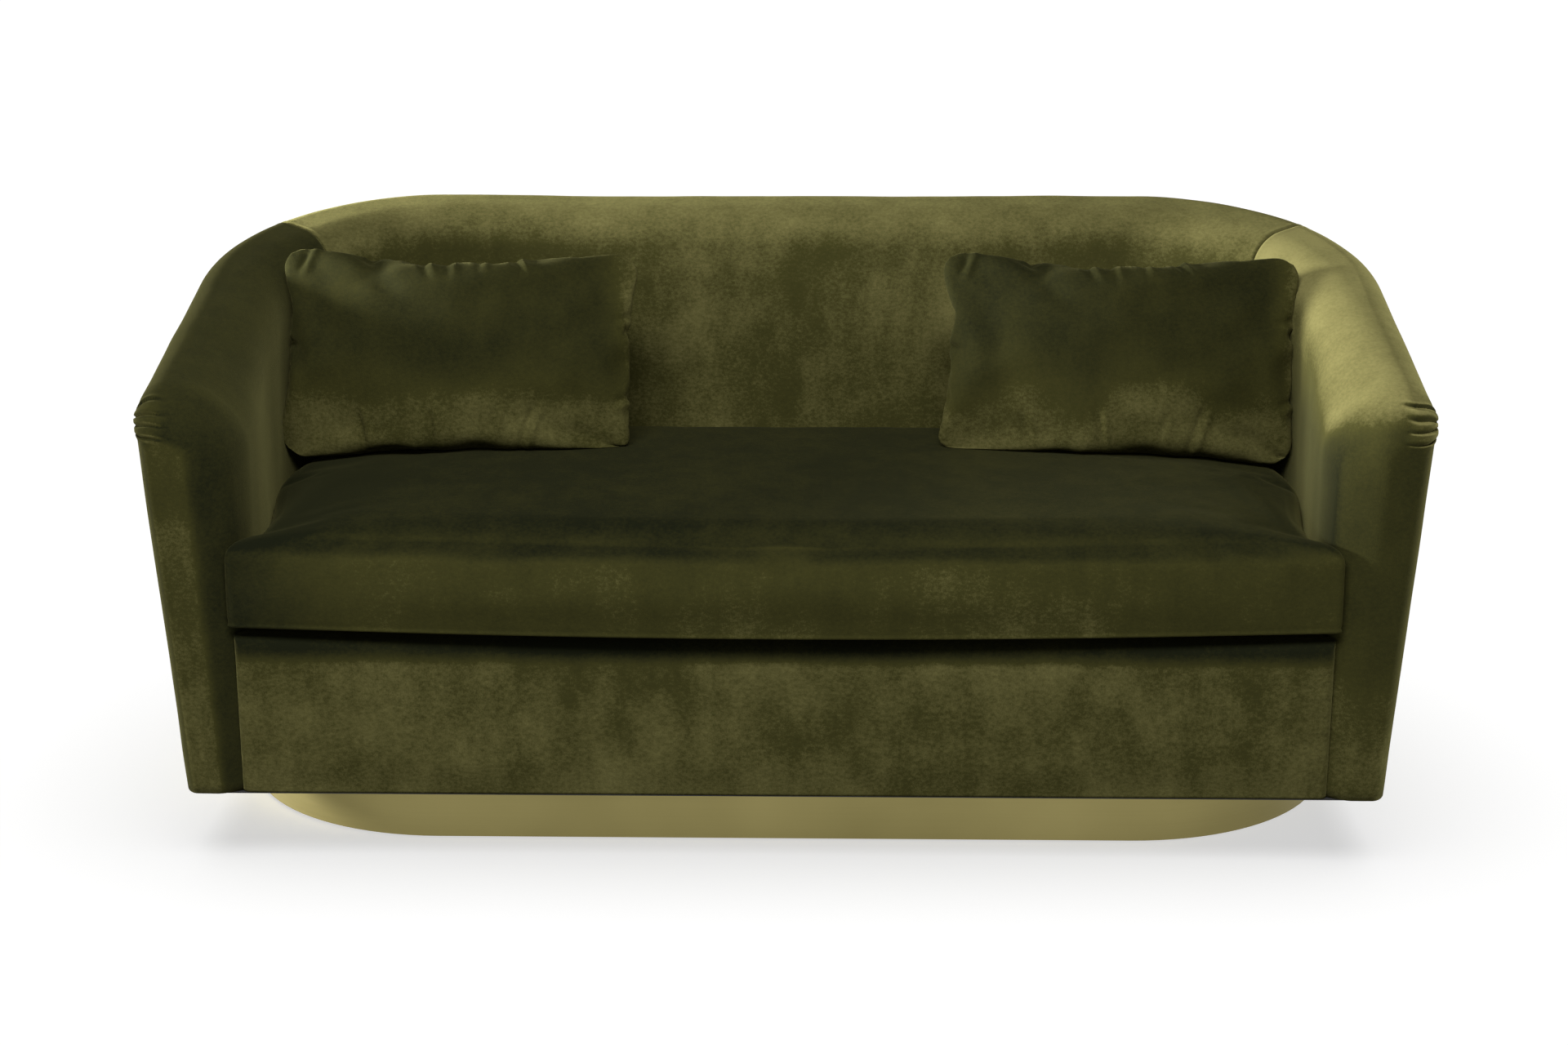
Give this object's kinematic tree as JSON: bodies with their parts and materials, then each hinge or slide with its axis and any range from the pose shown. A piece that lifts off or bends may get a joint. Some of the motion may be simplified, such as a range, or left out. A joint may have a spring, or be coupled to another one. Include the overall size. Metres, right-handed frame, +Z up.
{
  "type": "two-seater sofa",
  "caption": "Upholstered tub sofa with a curved wall, slanted rolled top, loose seat cushion, loose pillows and a set-back plinth clad in brass.",
  "frame": {"origin": "on the floor, under the middle of the sofa's box", "axes": "+Z up, X across the sofa, front towards -Y, so +X is on the right seen from the front"},
  "size_m": [1.7498, 0.8105, 0.8017],
  "materials": {
    "velvet": "short cotton velvet pile, olive green",
    "foam": "open-cell upholstery foam",
    "filling": "feather and fibre filling in a cotton bag",
    "plywood": "sanded birch plywood",
    "timber": "planed beech",
    "spring_steel": "drawn spring wire, zinc-plated clips and screws",
    "brass": "brushed, lacquered brass sheet",
    "glide_plastic": "black nylon",
    "black_cloth": "spun-bonded black cloth",
    "zip_tape": "woven zip tape with nylon coil",
    "zip_metal": "cast slider, antique brass plated"
  },
  "bodies": {
    "frame": {"arm_uprights": "plywood", "back_foam": "foam", "back_inner_lining": "plywood", "back_outer_lining": "plywood", "back_spring_rail": "timber", "back_uprights": "plywood", "base_cross_rails": "timber", "bottom_rib": "plywood", "corner_blocks": "timber", "corner_uprights": "plywood", "deck_cloth": "black_cloth", "deck_pad": "foam", "dust_cover": "black_cloth", "floor_glides": "glide_plastic", "front_rail": "timber", "front_rail_cover": "velvet", "front_rail_pad": "foam", "front_spring_rail": "timber", "inside_back_cover": "velvet", "left_arm_cover": "velvet", "left_arm_foam": "foam", "left_front_post": "plywood", "left_inner_lining": "plywood", "left_outer_lining": "plywood", "left_outside_cover": "velvet", "middle_rib": "plywood", "outside_back_cover": "velvet", "plinth_band": "brass", "plinth_bottom_board": "plywood", "plinth_former": "plywood", "plinth_ribs": "plywood", "plinth_screws": "spring_steel", "plinth_top_board": "plywood", "right_arm_cover": "velvet", "right_arm_foam": "foam", "right_front_post": "plywood", "right_inner_lining": "plywood", "right_outer_lining": "plywood", "right_outside_cover": "velvet", "seat_springs": "spring_steel", "spring_clips": "spring_steel", "spring_rail_posts": "timber", "top_rib": "plywood"},
    "seat_cushion": {"seat_cushion_cover": "velvet", "seat_cushion_core": "foam", "seat_zip_tape": "zip_tape"},
    "zip_slider": {"seat_zip_slider": "zip_metal"},
    "left_pillow": {"left_pillow_cover": "velvet", "left_pillow_filling": "filling"},
    "right_pillow": {"right_pillow_cover": "velvet", "right_pillow_filling": "filling"}
  },
  "joints": [
    {"name": "seat_cushion_lift", "type": "slide", "parent": "frame", "child": "seat_cushion", "axis": [0, 0, 1], "range_m": [0, 0.45]},
    {"name": "left_pillow_lift", "type": "slide", "parent": "seat_cushion", "child": "left_pillow", "axis": [0, 0, 1], "range_m": [0, 0.4]},
    {"name": "right_pillow_lift", "type": "slide", "parent": "seat_cushion", "child": "right_pillow", "axis": [0, 0, 1], "range_m": [0, 0.4]},
    {"name": "seat_zip", "type": "slide", "parent": "seat_cushion", "child": "zip_slider", "axis": [1, 0, 0], "range_m": [0, 0.59]}
  ]
}
